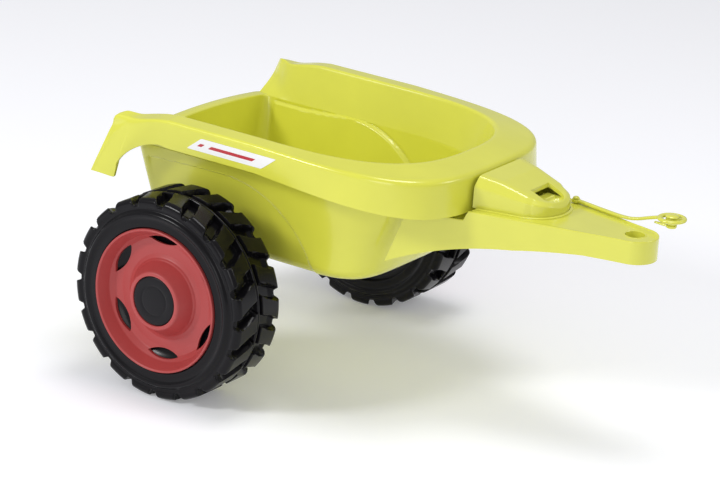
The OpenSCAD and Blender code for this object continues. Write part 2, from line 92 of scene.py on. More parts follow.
class Shape:
    """Points in millimetres and faces, gathered into one mesh."""

    def __init__(self):
        self.points, self.faces = [], []

    def add(self, points, faces):
        start = len(self.points)
        self.points.extend(np.asarray(points, float).reshape(-1, 3).tolist())
        self.faces.extend(tuple(start + i for i in f) for f in faces)

    def grid(self, rows, closed_rows=False, closed_cols=False, caps=False):
        """A sheet of quads over the rows; caps close the two ends of a tube."""
        rows = np.asarray(rows, float)
        m, n = rows.shape[:2]
        faces = grid_faces(m, n, closed_rows, closed_cols)
        if caps and closed_cols:
            faces += [tuple(range(n)), tuple((m - 1) * n + c for c in range(n))]
        if caps and closed_rows:
            faces += [tuple(r * n for r in range(m)), tuple(r * n + n - 1 for r in range(m))]
        self.add(rows, faces)

    def mesh(self, name, sharp=35.0, weld=0.002):
        me = bpy.data.meshes.new(name)
        me.from_pydata(to_frame(self.points).tolist(), [], self.faces)
        bm = bmesh.new()
        bm.from_mesh(me)
        bmesh.ops.remove_doubles(bm, verts=bm.verts, dist=weld * MM)
        bmesh.ops.dissolve_degenerate(bm, edges=bm.edges, dist=1e-7)
        bmesh.ops.recalc_face_normals(bm, faces=bm.faces)
        bm.to_mesh(me)
        bm.free()
        shade(me, sharp)
        return me


def shade(me, sharp):
    me.polygons.foreach_set("use_smooth", [True] * len(me.polygons))
    me.set_sharp_from_angle(angle=math.radians(sharp))
    me.update()


def piece(name, me, material, body, replaces=()):
    o = bpy.data.objects.new(name, me)
    bpy.context.scene.collection.objects.link(o)
    me.materials.clear()
    me.materials.append(material)
    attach(o, body)
    if replaces:
        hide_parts(*replaces)


def cut(me, tools, sharp=35.0):
    """me less each tool mesh, exactly."""
    o = bpy.data.objects.new("work", me)
    bpy.context.scene.collection.objects.link(o)
    helpers = []
    for tool in tools:
        t = bpy.data.objects.new("tool", tool)
        bpy.context.scene.collection.objects.link(t)
        helpers.append(t)
        m = o.modifiers.new("cut", "BOOLEAN")
        m.operation, m.solver, m.object = "DIFFERENCE", "EXACT", t
    out = bpy.data.meshes.new_from_object(o.evaluated_get(bpy.context.evaluated_depsgraph_get()))
    for t in [o, *helpers]:
        bpy.data.objects.remove(t)
    shade(out, sharp)
    return out


def bevelled(me, width):
    """me with its sharp edges rounded."""
    o = bpy.data.objects.new("work", me)
    bpy.context.scene.collection.objects.link(o)
    m = o.modifiers.new("round", "BEVEL")
    m.width, m.segments, m.limit_method = width * MM, 3, "ANGLE"
    m.angle_limit = math.radians(40)
    out = bpy.data.meshes.new_from_object(o.evaluated_get(bpy.context.evaluated_depsgraph_get()))
    bpy.data.objects.remove(o)
    shade(out, 50)
    return out


def bend(a, corner, b, count):
    """A quadratic curve from a to b, drawn towards the corner."""
    return [(1 - t) ** 2 * a + 2 * t * (1 - t) * corner + t * t * b for t in np.linspace(0, 1, count + 1)]


def rounded(keys, shares, count, straight):
    """A path through key rows, with each inner corner rounded by a share of its legs."""
    keys = [np.asarray(k, float) for k in keys]
    out = [keys[0]]
    for key, before, after, (back, ahead) in zip(keys[1:-1], keys[:-2], keys[2:], shares):
        a, b = lerp(key, before, back), lerp(key, after, ahead)
        start = out[-1]
        out += [lerp(start, a, t) for t in np.linspace(0, 1, straight + 1)[1:-1]]
        out += bend(a, key, b, count)
    start = out[-1]
    return out + [lerp(start, keys[-1], t) for t in np.linspace(0, 1, straight + 1)[1:]]


def evenly(points, count):
    """count points at even distances along a path."""
    points = np.asarray(points, float)
    along = np.concatenate([[0], np.cumsum(np.linalg.norm(np.diff(points, axis=0), axis=1))])
    at = np.linspace(0, along[-1], count)
    return np.stack([np.interp(at, along, points[:, k]) for k in range(points.shape[1])], 1)


def spline(points, count):
    """count + 1 even steps along a smooth curve through the points."""
    p = np.asarray(points, float)
    p = np.vstack([2 * p[0] - p[1], p, 2 * p[-1] - p[-2]])
    curve = []
    for i in range(1, len(p) - 2):
        t = np.linspace(0, 1, 20, endpoint=i == len(p) - 3)[:, None]
        curve.append(0.5 * (2 * p[i] + (p[i + 1] - p[i - 1]) * t
                            + (2 * p[i - 1] - 5 * p[i] + 4 * p[i + 1] - p[i + 2]) * t ** 2
                            + (3 * p[i] - p[i - 1] - 3 * p[i + 1] + p[i + 2]) * t ** 3))
    return evenly(np.vstack(curve), count + 1)


def averaged(points, size):
    """Each point moved to the mean of size neighbours; the two ends stay."""
    out = points.copy()
    for k in range(points.shape[1]):
        padded = np.pad(points[:, k], size // 2, mode="reflect", reflect_type="odd")
        out[:, k] = np.convolve(padded, np.ones(size) / size, "valid")
    return out


def softened(points, count, width):
    """Evenly spaced points along a profile, with its corners softened over a width."""
    length = np.linalg.norm(np.diff(points, axis=0), axis=1).sum()
    size = max(1, int(width / (length / count)) | 1)
    return averaged(evenly(points, count), size)


def lathe_rows(profile, x, y, count=40):
    """Rings of (radius, height) about an upright line through x, y."""
    a = np.radians(np.arange(count) * 360 / count)
    return [np.stack([x + r * np.cos(a), y + r * np.sin(a), np.full(count, z)], 1) for r, z in profile]


def across(row, count):
    """Rows from the right half of a plan row to its left half, for a flat top."""
    m = len(row) // 2
    right, left = row[: m + 1], row[::-1][: m + 1]
    return [lerp(right, left, t) for t in np.linspace(0, 1, count)]


def end_path(rows, top):
    """The open rear end of a shell: up its right side, over its top and down its left."""
    return np.array([r[0] for r in rows] + [p[0] for p in top][1:-1] + [r[-1] for r in rows[::-1]])


def close_end(shape, outer, inner):
    """Joins two end paths, the inner one resampled to as many points as the outer."""
    at = np.linspace(0, len(inner) - 1, len(outer))
    near = np.stack([np.interp(at, np.arange(len(inner)), inner[:, k]) for k in range(3)], 1)
    shape.grid([outer, near])


# ------------------------------------------------------------------ materials
def node_material(name):
    mat = bpy.data.materials.new(name)
    mat.use_nodes = True
    tree = mat.node_tree
    tree.nodes.clear()
    out = tree.nodes.new("ShaderNodeOutputMaterial")
    bsdf = tree.nodes.new("ShaderNodeBsdfPrincipled")
    tree.links.new(bsdf.outputs["BSDF"], out.inputs["Surface"])
    return mat, tree, bsdf


def moulded(name, colour, rough, spread, bump, grain=900.0, mottle=14.0, shift=0.04, coat=0.0,
            metallic=0.0, specular=0.5):
    """Moulded plastic: faint colour and gloss variation, and a fine mould texture."""
    mat, tree, bsdf = node_material(name)
    coord = tree.nodes.new("ShaderNodeTexCoord")
    large = tree.nodes.new("ShaderNodeTexNoise")
    large.inputs["Scale"].default_value = mottle
    large.inputs["Detail"].default_value = 3.0
    tree.links.new(coord.outputs["Object"], large.inputs["Vector"])
    ramp = tree.nodes.new("ShaderNodeValToRGB")
    ramp.color_ramp.elements[0].position = 0.3
    ramp.color_ramp.elements[1].position = 0.7
    ramp.color_ramp.elements[0].color = (*[c * (1 - shift) for c in colour], 1)
    ramp.color_ramp.elements[1].color = (*[min(1.0, c * (1 + shift)) for c in colour], 1)
    tree.links.new(large.outputs["Fac"], ramp.inputs["Fac"])
    tree.links.new(ramp.outputs["Color"], bsdf.inputs["Base Color"])
    gloss = tree.nodes.new("ShaderNodeMapRange")
    gloss.inputs["To Min"].default_value = rough - spread
    gloss.inputs["To Max"].default_value = rough + spread
    tree.links.new(large.outputs["Fac"], gloss.inputs["Value"])
    tree.links.new(gloss.outputs["Result"], bsdf.inputs["Roughness"])
    fine = tree.nodes.new("ShaderNodeTexNoise")
    fine.inputs["Scale"].default_value = grain
    fine.inputs["Detail"].default_value = 2.0
    tree.links.new(coord.outputs["Object"], fine.inputs["Vector"])
    relief = tree.nodes.new("ShaderNodeBump")
    relief.inputs["Strength"].default_value = bump
    relief.inputs["Distance"].default_value = 0.0002
    tree.links.new(fine.outputs["Fac"], relief.inputs["Height"])
    tree.links.new(relief.outputs["Normal"], bsdf.inputs["Normal"])
    bsdf.inputs["Coat Weight"].default_value = coat
    bsdf.inputs["Coat Roughness"].default_value = 0.12
    bsdf.inputs["Metallic"].default_value = metallic
    bsdf.inputs["Specular IOR Level"].default_value = specular
    return mat


LIME = moulded("lime_moulding", (0.690, 0.690, 0.066), 0.26, 0.03, 0.05, coat=0.45)
LIME_DRAWBAR = moulded("lime_drawbar_moulding", (0.700, 0.700, 0.080), 0.26, 0.03, 0.05, coat=0.6)
TYRE = moulded("black_tyre_moulding", (0.0042, 0.0038, 0.0050), 0.25, 0.05, 0.08, shift=0.15, coat=0.05,
               specular=0.16)
CAP = moulded("black_cap_moulding", (0.0045, 0.0040, 0.0055), 0.42, 0.04, 0.12, shift=0.1, specular=0.22)
RED = moulded("red_rim_moulding", (0.400, 0.052, 0.050), 0.40, 0.04, 0.10, shift=0.03)
NATURAL = moulded("natural_bush_moulding", (0.76, 0.75, 0.70), 0.42, 0.04, 0.08)
LABEL = moulded("white_label", (0.90, 0.90, 0.90), 0.22, 0.03, 0.02, shift=0.01)
INK = moulded("red_label_ink", (0.50, 0.030, 0.040), 0.25, 0.03, 0.02)
STEEL = moulded("zinc_plated_steel", (0.58, 0.58, 0.60), 0.34, 0.08, 0.10, grain=1500.0, metallic=1.0)

# ------------------------------------------------------------------ tub
WALL = 3.0
BELLY_Z = 128.0
SEAM_Z = 227.0          # where the tub's wall turns into the collar
HEM_Z = 224.0           # the collar's skirt ends here
MID_X = 60.0            # forward of this the plan is one round nose
TAIL_X = -52.0          # behind this the collar falls away into the mudguard tail
CORNER_R, CORNER_GROWTH = 12.0, 0.2     # the rear corner's radius at the seam, and its growth per mm below
LIP_REACH = 13.0        # how far the rolled lip stands out behind the rear wall
PLAN_Z, PLAN_FRONT, PLAN_HALF = 137.0, 168.0, 101.0     # the tub's reach and half width at one height


def tub_front(z):
    return PLAN_FRONT + (z - PLAN_Z) * 0.38


def tub_half(z):
    return PLAN_HALF + (z - PLAN_Z) * 0.16


def tub_rear(z):
    return 118 - (HEM_Z - z) * 0.11


def tub_square(z):
    """How square the nose is: 2 would be an ellipse."""
    return lerp(4.6, 3.0, float(clamp01((z - PLAN_Z) / (HEM_Z - PLAN_Z))))


def nose_outline(reach, half, square, count):
    """The round front from -Y to +Y, in even steps."""
    a = np.radians(np.linspace(-90, 90, 4001))
    c, s = np.clip(np.cos(a), 0, 1), np.sin(a)
    x = MID_X + (reach - MID_X) * c ** (2 / square)
    y = half * np.sign(s) * np.abs(s) ** (2 / square)
    return evenly(np.stack([x, y], 1), count + 1)


SIDE, NOSE, CORNER, REAR = steps(130), 2 * steps(110), steps(9), steps(40)


def tub_outline(z, off, inset):
    """The tub's plan at a height: right side, nose, left side, rear wall."""
    half, reach = tub_half(z) + off - inset, tub_front(z) + off - inset
    rear = -(tub_rear(z) + off - inset)
    below = min(max(SEAM_Z - z, 0.0), 70.0)
    rc = max(4.0, CORNER_R + CORNER_GROWTH * below + off - inset)
    side = np.stack([np.linspace(rear + rc, MID_X, SIDE + 1)[:-1], np.full(SIDE, half)], 1)
    a = np.radians(90 * np.arange(1, CORNER + 1) / CORNER)
    corner = np.stack([rear + rc - rc * np.sin(a), half - rc + rc * np.cos(a)], 1)
    wall = np.stack([np.full(REAR - 1, rear),
                     lerp(half - rc, rc - half, np.arange(1, REAR) / REAR)], 1)
    flip = np.array([1, -1])
    return np.concatenate([side * flip, nose_outline(reach, half, tub_square(z), NOSE),
                           side[::-1], corner, wall, (corner * flip)[::-1]])


# How much each column belongs to the rear wall, where the top rolls over into a lip
rear_share = np.concatenate([
    np.zeros(SIDE + NOSE + 1 + SIDE), smooth(np.arange(1, CORNER + 1) / CORNER * 1.6),
    np.ones(REAR - 1), smooth(np.arange(CORNER, 0, -1) / CORNER * 1.6)])


def arch_step(x, z, inner):
    """How far the wall steps in towards the middle under the wheel arch."""
    radius = 121.4 if inner else 111.0
    level = (223.4 + 10.1 * smooth((x + 75) / 150)) if inner else (213.8 + 3.2 * smooth((x + 116) / 90))
    centre = AXLE_Z if inner else AXLE_Z - 1.0
    depth = np.where(x > 0, radius - np.hypot(x, z - centre), level - z)
    if inner:
        return 3.0 * smooth(depth / 2.4) - 0.9 * np.exp(-((depth + 0.6) / 0.9) ** 2)
    return 2.6 * smooth(depth / 2.0)


def tub_row(z, off, inset=0.0, inner=False):
    flat = tub_outline(z, off, inset)
    x, y = flat[:, 0], flat[:, 1]
    half = tub_half(z) + off - inset
    side = smooth((np.abs(y) / half - 0.75) / 0.15) * (1 - rear_share) * smooth((x + 105) / 8)
    y = y - np.sign(y) * side * arch_step(x, z, inner)
    rise = 1 + 7 * (1 - (y / half) ** 2)
    zz = z + rear_share * rise * smooth((z - 190) / (SEAM_Z - 190))
    return np.stack([x, y, zz], 1)


def lip_row(outward, drop):
    """A row of the rolled lip along the rear wall; at the sides it stays on the wall's top."""
    off = np.where(rear_share > 0, lerp(min(outward, 0.0), outward, rear_share), min(outward, 0.0))
    base, wide = tub_row(SEAM_Z, 0.0), tub_row(SEAM_Z, LIP_REACH)
    t = (off / LIP_REACH)[:, None]
    row = lerp(base, wide, t)
    row[:, 2] = base[:, 2] - drop * rear_share
    return row


def fillet_rows(radius, off, z0, inner):
    """The rounded edge between the tub's floor and its walls."""
    return [tub_row(z0 + radius * (1 - math.cos(a)), off, radius * (1 - math.sin(a)), inner)
            for a in np.radians(np.linspace(0, 90, 9))]


levels = np.linspace(143.5, SEAM_Z, steps(84))      # from the wall's foot, above the floor's rounded edge
tub = Shape()
tub.grid(
    fillet_rows(14, 0.0, BELLY_Z, False)
    + [tub_row(z, 0.0) for z in levels[:-1]]
    + [lip_row(0.0, 6.5), lip_row(9.5, 6.0), lip_row(11.6, 6.2), lip_row(12.8, 4.6), lip_row(12.8, 2.4),
       lip_row(11.6, 0.6), lip_row(9.6, 0.0), lip_row(1.0, 0.0), lip_row(-1.6, 0.5), lip_row(-3.0, 2.2)]
    + [tub_row(z, -WALL, inner=True) for z in levels[::-1][1:]]
    + fillet_rows(11, -WALL, BELLY_Z + WALL, True)[::-1],
    closed_cols=True, caps=True)

# ------------------------------------------------------------------ collar
TAIL, STRAIGHT, FRONT, BANDS = steps(96), steps(70), steps(80), steps(20)
COLLAR_FRONT = 260.0
FOOT = tub_front(SEAM_Z) - WALL, tub_half(SEAM_Z) - WALL
mudguard = [(TAIL_X + 66 * math.cos(a), 192 + 50 * math.sin(a)) for a in np.radians(range(100, 161, 12))]


def collar_row(reach, square, z_front, side):
    """One row round the collar: front reach, squareness and height, and its side from x = TAIL_X back."""
    tail = spline(side, TAIL)[::-1]
    half, z_side = tail[-1, 1], tail[-1, 2]
    xs = np.linspace(TAIL_X, MID_X, STRAIGHT + 1)[1:-1]
    straight = np.stack([xs, np.full(len(xs), half), np.full(len(xs), z_side)], 1)
    nose = nose_outline(reach, half, square, 2 * FRONT)
    z = lerp(z_side, z_front, clamp01((nose[:, 0] - MID_X) / (COLLAR_FRONT - MID_X)))
    flank = np.concatenate([tail, straight])
    return np.concatenate([flank * [1, -1, 1], np.column_stack([nose, z]), flank[::-1]])


# The collar's control curves on one side, from TAIL_X back to the tail's rear edge
foot = [(TAIL_X, FOOT[1], SEAM_Z), (-80, FOOT[1], SEAM_Z), (-104, FOOT[1], SEAM_Z),
        (-125, FOOT[1] - 1, SEAM_Z)]
hollow = [(TAIL_X, 115.8, 240), (-78, 116, 240), (-96, 119.5, 240), (-111, 128.5, 240.3),
          (-126.5, 139, 241.5)]
inner_top = [(TAIL_X, 124, 271.6), (-66, 124, 270), (-82, 124.5, 266.8), (-97, 128, 263.9), (-106, 132, 265),
             (-112.5, 134, 265.2), (-118, 139.5, 262.8)]
outer_top = [(TAIL_X, 146.1, 270), (-70, 146.1, 267.4), (-90, 145.9, 263), (-105, 145.5, 262),
             (-115.5, 145, 261.6), (-121, 144.6, 259.8)]
skirt = ([(TAIL_X, 144, 240)] + [(x, 144 + 0.0014 * (x - TAIL_X) ** 2, z) for x, z in mudguard]
         + [(-115.6, 149.4, 199), (-117, 149.9, 195), (-130, 150.1, 195.2), (-146, 150.3, 195.6)])


def moved(points, dx=0.0, dy=0.0, dz=0.0):
    return [(x + dx, y + dy, z + dz) for x, y, z in points]


outer_path = rounded([
    collar_row(FOOT[0], 3.0, SEAM_Z, foot),
    collar_row(FOOT[0] + 7, 2.95, 240, hollow),
    collar_row(223, 2.8, 270.2, inner_top),
    collar_row(260.2, 3.45, 262.8, outer_top),
    collar_row(261, 3.8, HEM_Z, skirt),
], [(0.5, 0.4), (0.10, 0.12), (0.15, 0.13)], count=steps(7), straight=BANDS)
inner_path = rounded([
    collar_row(258.2, 3.8, HEM_Z, moved(skirt, 0, -2.8)),
    collar_row(257.2, 3.45, 259.6, moved(outer_top, 0.5, -2.8, -3.0)),
    collar_row(226, 2.8, 267.2,
               [(x + 1, y + lerp(3, 1.0, smooth((-80 - x) / 35)), z - 3) for x, y, z in inner_top]),
    collar_row(FOOT[0] + 9.6, 2.95, 240, moved(hollow, 1, 2.4, -0.6)),
    collar_row(FOOT[0] + 2.4, 3.0, SEAM_Z, moved(foot, 1, 2.4)),
], [(0.13, 0.15), (0.12, 0.10), (0.4, 0.5)], count=steps(7), straight=BANDS)


def crease(row, share):
    """Behind a curved line down to the tail's tip, the outer face turns in."""
    x, y, z = row.T
    line = np.interp(z, [195, 206, 214, 228, 243, 254.5, 260.7, 266],
                     [-146, -141.4, -137.4, -129.5, -119.5, -105.5, -93.5, -80])
    behind = np.maximum(0, line - x) * (x < TAIL_X)
    ridge = 0.5 * np.exp(-((line - x) / 1.6) ** 2) * (x < TAIL_X)
    turn = (0.20 * behind * smooth(behind / 2.0) - ridge) * share
    return np.stack([x, np.sign(y) * (np.abs(y) - turn), z], 1)


edge = len(outer_path) - BANDS        # the first row below the outer top edge
for i in range(edge - 2, len(outer_path)):
    outer_path[i] = crease(outer_path[i], min(1.0, (i - edge + 3) / 3))
hem = lerp(outer_path[-1], inner_path[0], 0.5) - [0, 0, 0.5]
ring = outer_path + [hem] + inner_path
tub.grid(ring, closed_rows=True)
for end in (0, -1):               # the tail's thin rear edge
    front, back = [r[end] for r in outer_path], [r[end] for r in inner_path[::-1]]
    tub.grid([front, back])
    tub.add([outer_path[-1][end], hem[end], inner_path[0][end]], [(0, 1, 2)])

# Corner shelves between the tub's round corner and the collar's foot
turn_start = 2 * SIDE + NOSE
turn = tub_outline(SEAM_Z, -1.6, 0.0)[turn_start: turn_start + CORNER + 2]
leg = np.linspace(0, 2, len(turn))        # 0 to 1 along the side, 1 to 2 along the rear
shelf_x = np.where(leg < 1, lerp(-99.0, -126.5, leg), -126.5)
shelf_y = np.where(leg < 1, 113.6, lerp(113.6, 98.0, leg - 1))
for side in (1, -1):
    rows = []
    for w, dz in ((0, 0.4), (0.3, 0.5), (0.9, 0.5), (1, 0), (1, -2.6), (0, -2.6)):
        flat = np.column_stack([lerp(turn[:, 0], shelf_x, w), lerp(turn[:, 1], shelf_y, w)])
        rows.append(np.column_stack([flat[:, 0], side * flat[:, 1], np.full(len(turn), SEAM_Z + dz)]))
    tub.grid(rows, closed_rows=True, caps=True)

# Screw bosses for the drawbar and the axle carrier
for side in (1, -1):
    tub.grid(lathe_rows([(2.1, 245), (2.1, 219.6), (4.4, 219.6), (5, 220.2), (5.2, 258), (7, 264)],
                        240, 34 * side), closed_cols=True, caps=True)
    for x in (-17, 17):
        tub.grid(lathe_rows([(6, 130.5), (6, 131), (5, 132.6), (5, 138.4), (4.4, 139), (0.2, 139.2)],
                            x, 62 * side), closed_cols=True, caps=True)
piece("tub_shell", tub.mesh("tub_shell", sharp=38), LIME, "trailer", ["tub"])

# ------------------------------------------------------------------ labels
SKIRT_TOP, SKIRT_FOOT = (269.8, 146.2), (239.0, 144.0)      # height and half width of the skirt's face
SHEET = 0.35                                                # a label's thickness


def on_skirt(side, x, z, lift):
    """A point on the skirt's outer face, stood off by lift."""
    t = (SKIRT_TOP[0] - z) / (SKIRT_TOP[0] - SKIRT_FOOT[0])
    return [x, side * (lerp(SKIRT_TOP[1], SKIRT_FOOT[1], t) + lift), z]


def label(side, name, span, rise, slant, lift, radius, material, replaces=()):
    """A slanted strip with rounded corners that follows the skirt."""
    (low, high), (z0, z1) = span, rise
    corners = np.array([(low, z0), (high, z0), (high + slant, z1), (low + slant, z1)], float)
    outline = []
    for i, corner in enumerate(corners):
        legs = [other - corner for other in (corners[i - 1], corners[(i + 1) % 4])]
        a, b = [corner + leg / np.linalg.norm(leg) * radius for leg in legs]
        outline += bend(a, corner, b, 5)
    middle = np.mean(outline, axis=0)
    shares = np.linspace(0.02, 1, 14)
    sheet = Shape()
    rows = [[on_skirt(side, *lerp(middle, p, k), lift) for p in outline] for k in shares]
    rows += [[on_skirt(side, *lerp(middle, p, k), lift - SHEET) for p in outline] for k in (1, shares[0])]
    sheet.grid(rows, closed_cols=True, caps=True)
    piece(name, sheet.mesh(name), material, "trailer", replaces)


for side, tag in SIDES:
    label(side, f"label_{tag}", (-25.5, 69.5), (246.9, 261.3), slant=19, lift=0.45, radius=2.2,
          material=LABEL, replaces=[f"decal_{tag}"])
    for mark, span in (("bar", (2, 58)), ("mark", (-12, -6.5))):
        label(side, f"label_{mark}_{tag}", span, (252.2, 255.6), slant=4.5, lift=0.6, radius=0.8,
              material=INK)

# ------------------------------------------------------------------ drawbar
HITCH_X, TIP_R, DECK_Z = 424.0, 24.0, 229.0
FLANK_END, TIP_HALF, FLANK_SLOPE = 405.0, 28.0, 0.24        # the straight flanks end at the round tip
ROOT_TOP, ROOT_FOOT = (204.0, 219.0), (183.0, 159.0)        # x and z of the root's sloping rear edge
TIP_T, BAR_WALL = 24.0, 3.0
FLANKS, TIP = steps(90), steps(26)


def flank(x):
    """Half the drawbar's width."""
    return TIP_HALF + (FLANK_END - x) * FLANK_SLOPE


def underside(x):
    t = clamp01((HITCH_X - 40 - x) / 210)
    return DECK_Z - TIP_T - 6 * clamp01(t * 3) - 44 * t ** 2.6


def bar_plan(inset):
    """Right flank forward, round the tip, left flank back."""
    xs = np.linspace(ROOT_TOP[0], FLANK_END, FLANKS + 1)
    ys = flank(xs) - inset
    a = np.radians(np.linspace(76.5, 0, TIP + 1))[1:]
    tip = np.stack([HITCH_X + (TIP_R - inset) * np.cos(a), (TIP_R - inset) * np.sin(a)], 1)
    half = np.concatenate([np.stack([xs, ys], 1), tip])
    return np.concatenate([half * [1, -1], half[::-1][1:]])


def bar_top(x):
    """The deck, and the lower seat that goes under the tub."""
    return DECK_Z - 10 * smooth((266 - x) / 4)


def bar_deck_row(inset, depth):
    """A row at a depth below the deck."""
    flat = bar_plan(inset)
    return np.column_stack([flat, bar_top(flat[:, 0]) - depth])


def bar_side_row(inset, share):
    """A row round the side: share runs from the deck's edge at 0 down to the underside at 1."""
    base = bar_plan(inset)
    flat = base
    keep = clamp01((FLANK_END - base[:, 0]) / (FLANK_END - ROOT_TOP[0]))
    for _ in range(3):        # the slope moves x, and x sets the height that the slope depends on
        z = lerp(bar_top(flat[:, 0]) - 1.0, underside(flat[:, 0]), share)
        rear = np.interp(z, [ROOT_FOOT[1], ROOT_TOP[1]], [ROOT_FOOT[0], ROOT_TOP[0]])
        flat = base + np.stack([(rear - ROOT_TOP[0]) * keep, np.zeros(len(base))], 1)
        grow = np.where(base[:, 0] < FLANK_END, flank(flat[:, 0]) - flank(base[:, 0]), 0)
        flat[:, 1] += np.sign(base[:, 1]) * grow
    return np.column_stack([flat, z])


def rod(x, y, low, high, radius):
    s = Shape()
    s.grid(lathe_rows([(radius, low), (radius, high)], x, y, 96), closed_cols=True, caps=True)
    return s.mesh("rod")


bar = Shape()
outside = [bar_side_row(0, share) for share in np.linspace(1, 0, 12)]
outside += [bar_deck_row(inset, depth) for inset, depth in (
    (0.12, 0.5), (0.45, 0.12), (0.9, 0.0), (1.6, 0.0), (2.0, 0.12), (2.4, 0.55), (2.9, 0.7))]
lining = [bar_deck_row(BAR_WALL, 3.4), bar_side_row(BAR_WALL, 0.5), bar_side_row(BAR_WALL, 1.0)]
deck, ceiling = across(outside[-1], 24), across(lining[0], 12)
for rows in (outside, deck, [outside[0], lining[2]], lining, ceiling):
    bar.grid(rows)
close_end(bar, end_path(outside, deck), end_path(lining[::-1], ceiling))
bar_mesh = cut(bar.mesh("drawbar_shell", sharp=32, weld=0.01), [rod(HITCH_X, 0, 190, 240, 10.2)], sharp=32)
piece("drawbar_shell", bar_mesh, LIME_DRAWBAR, "trailer", ["drawbar"])

# Eye tube round the hitch hole, its raised ring, and the ribs inside the drawbar
RIB = 3.0
inside = Shape()
inside.grid(lathe_rows([(10, 228.3), (10, 205), (10.4, 204.6), (13, 204.6), (13, 226.4)], HITCH_X, 0, 96),
            closed_cols=True)
inside.grid(lathe_rows([(10, 228.3), (10.3, 228.7), (11.1, 228.75), (11.5, 228.3)], HITCH_X, 0, 96),
            closed_cols=True)
for x in (300, 350):
    half, low = float(flank(x)) - 2, float(underside(x)) + 2
    rows = [[[x + dx, y, z] for y in np.linspace(-half, half, 9)]
            for dx, z in ((0, DECK_Z - RIB), (0, low), (RIB, low), (RIB, DECK_Z - RIB))]
    inside.grid(rows, closed_rows=True, caps=True)
xs = np.linspace(210, 412, 40)
rib_top, rib_foot = bar_top(xs) - 3, underside(xs) + 3
rows = [np.stack([xs, np.full(40, y), z], 1) for y, z in
        ((-RIB / 2, rib_top), (-RIB / 2, rib_foot), (RIB / 2, rib_foot), (RIB / 2, rib_top))]
inside.grid(rows, closed_rows=True, caps=True)
piece("drawbar_inside", inside.mesh("drawbar_inside"), LIME_DRAWBAR, "trailer")

# ------------------------------------------------------------------ lock cover
COVER_REAR, COVER_NOSE, COVER_BASE = 263.6, 341.0, 229.5
NOSE_LONG, NOSE_HALF = 26.0, 34.2       # the nose is half an ellipse
TURN_X = COVER_NOSE - 24                # the straight sides end here


def cover_plan(inset):
    """Right side forward, round the nose, left side back."""
    xs = np.linspace(COVER_REAR + inset, TURN_X, steps(36) + 1)
    ys = np.interp(xs, [COVER_REAR, TURN_X], [49, 36.6]) - inset
    a = np.radians(np.linspace(76, 0, steps(24) + 1))
    tip = np.stack([COVER_NOSE - NOSE_LONG + (NOSE_LONG - inset) * np.cos(a),
                    (NOSE_HALF - inset) * np.sin(a)], 1)
    half = np.concatenate([np.stack([xs, ys], 1), tip])
    return np.concatenate([half * [1, -1], half[::-1][1:]])


def side_top(x):
    return np.interp(x, [COVER_REAR, 333, 338, COVER_NOSE], [251.5, 241, 239.5, 236.5])


def crest(x):
    return np.interp(x, [COVER_REAR, 286, 333, 338, COVER_NOSE], [260.5, 257, 244, 242.6, 241.5])


def cover_row(up, inset=0.0, drop=0.0):
    """up is 0 at the base, 1 at the top of the side and 2 at the crest."""
    base = cover_plan(0.0)
    lean = np.interp(base[:, 0], [COVER_REAR, 333, COVER_NOSE], [8.5, 4.5, 4.0])
    pull = 0.6 * min(up, 1) + lean * max(0.0, up - 1) + inset
    centre = np.column_stack([np.minimum(base[:, 0], COVER_NOSE - NOSE_LONG), np.zeros(len(base))])
    away = base - centre
    size = np.linalg.norm(away, axis=1)[:, None]
    flat = centre + away * (1 - np.minimum(pull[:, None] / size, 0.97))
    low, mid, top = COVER_BASE, side_top(base[:, 0]), crest(base[:, 0])
    z = lerp(low, mid, up) if up <= 1 else lerp(mid, top, up - 1)
    return np.column_stack([flat, z - drop])


cover = Shape()
outside = rounded([cover_row(0.0), cover_row(1.0), cover_row(2.0), cover_row(2.0, 6.0, -0.7)],
                  [(0.10, 0.22), (0.25, 0.3)], count=steps(6), straight=4)
lining = [cover_row(0.0, 2.5), cover_row(0.9, 2.6, 1.0), cover_row(1.9, 3.4, 3.0)]
roof, ceiling = across(outside[-1], 20), across(lining[-1], 12)
for rows in (outside, roof, [outside[0], lining[0]], lining, ceiling):
    cover.grid(rows)
close_end(cover, end_path(outside, roof), end_path(lining, ceiling))


def d_prism(front, rear, half, z0, z1, draft):
    """A D-shaped plug, round towards the nose, wider at its top."""
    reach = half * 0.75
    rows = []
    for z, grow in ((z0, 0.0), (z1, draft)):
        nose = [(front - reach + (reach + grow) * math.cos(a), (half + grow) * math.sin(a))
                for a in np.radians(np.linspace(-90, 90, 33))]
        back = [(rear - grow, half + grow), (rear - grow, -half - grow)]
        rows.append([(x, y, z) for x, y in nose + back])
    s = Shape()
    s.grid(rows, closed_cols=True, caps=True)
    return s.mesh("plug")


pocket_plug = d_prism(front=336.0, rear=312, half=15.0, z0=239.4, z1=262, draft=4.0)
cover_mesh = cut(cover.mesh("lock_cover_shell", sharp=40, weld=0.01), [pocket_plug], sharp=30)
piece("lock_cover_shell", cover_mesh, LIME_DRAWBAR, "trailer", ["lock_cover"])
tray = Shape()        # floor and rib of the finger pocket
tray.grid([[(x, y, z) for x in np.linspace(309.5, 335.5, 12)] for y, z in
           [(-17.5, 238.4), (17.5, 238.4), (17.5, 240.6), (-17.5, 240.6)]], closed_rows=True, caps=True)
tray.grid([[(x, y, z) for y in np.linspace(-9, 9, 10)] for x, z in
           [(320, 240), (321.4, 242.6), (323.4, 242.6), (325, 240)]], closed_rows=True, caps=True)
piece("lock_cover_pocket", bevelled(tray.mesh("lock_cover_pocket"), 0.35), LIME_DRAWBAR, "trailer")
step = Shape()        # low step that the cover's nose sits on
wide, close = cover_plan(-3.2), cover_plan(-0.4)
ahead = wide[:, 0] > 268
wide, close = wide[ahead], close[ahead]
